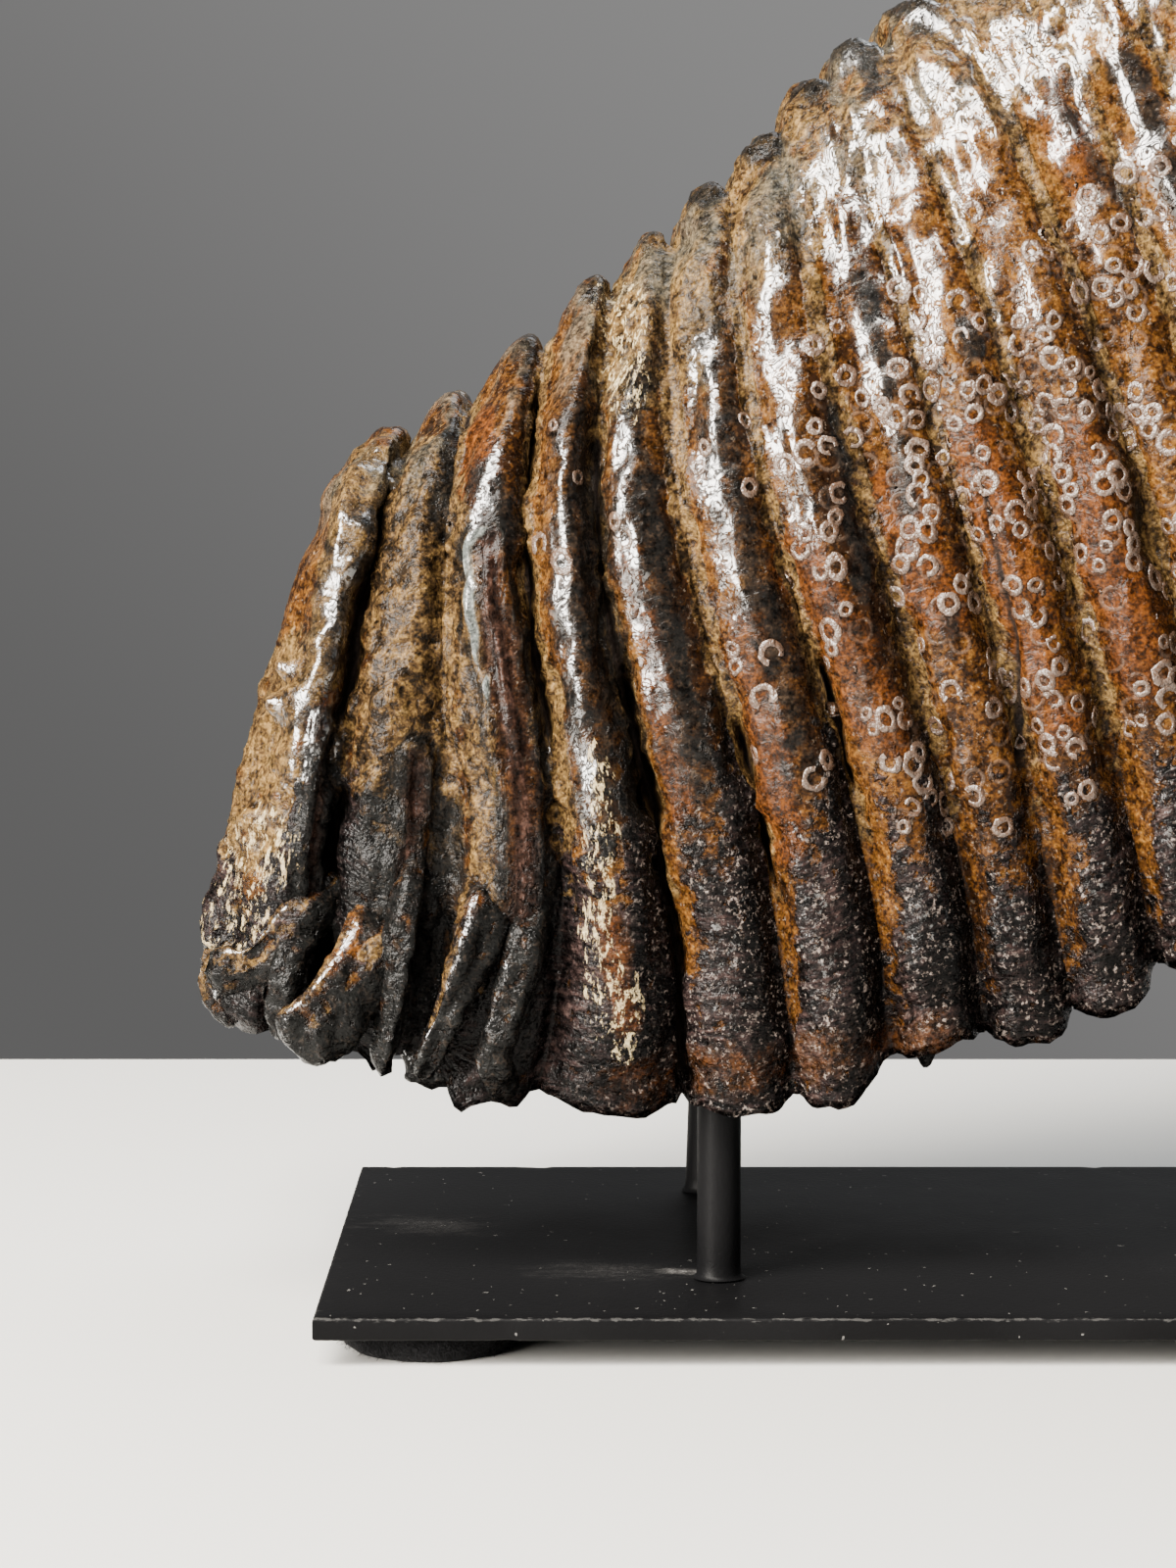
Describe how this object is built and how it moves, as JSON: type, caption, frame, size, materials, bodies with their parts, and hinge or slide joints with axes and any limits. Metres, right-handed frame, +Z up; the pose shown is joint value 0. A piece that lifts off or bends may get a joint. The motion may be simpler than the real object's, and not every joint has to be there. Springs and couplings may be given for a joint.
{
  "type": "fossil mammoth tooth on a stand",
  "caption": "Ridged fossil mammoth molar, varnished brown and black, resting on upright rods from a flat black steel base plate with felt feet.",
  "frame": {"origin": "on the table, under the middle of the base plate and of the tooth", "axes": "+Z up, +X along the tooth from its unworn rear plates to its worn front, +Y across it, away from the side that is usually shown"},
  "size_m": [0.2375, 0.1, 0.2025],
  "materials": {
    "fossil_tooth": "varnished mineralised enamel and cement, orange-brown with black patches",
    "black_steel": "satin black paint on mild steel",
    "black_felt": "dense black felt with a fuzzy edge"
  },
  "bodies": {
    "root": {"tooth": "fossil_tooth", "base_plate": "black_steel", "rod_front_left": "black_steel", "rod_back_left": "black_steel", "rod_front_right": "black_steel", "rod_back_right": "black_steel", "felt_pad_front_left": "black_felt", "felt_pad_front_right": "black_felt", "felt_pad_back_left": "black_felt", "felt_pad_back_right": "black_felt"}
  },
  "joints": []
}
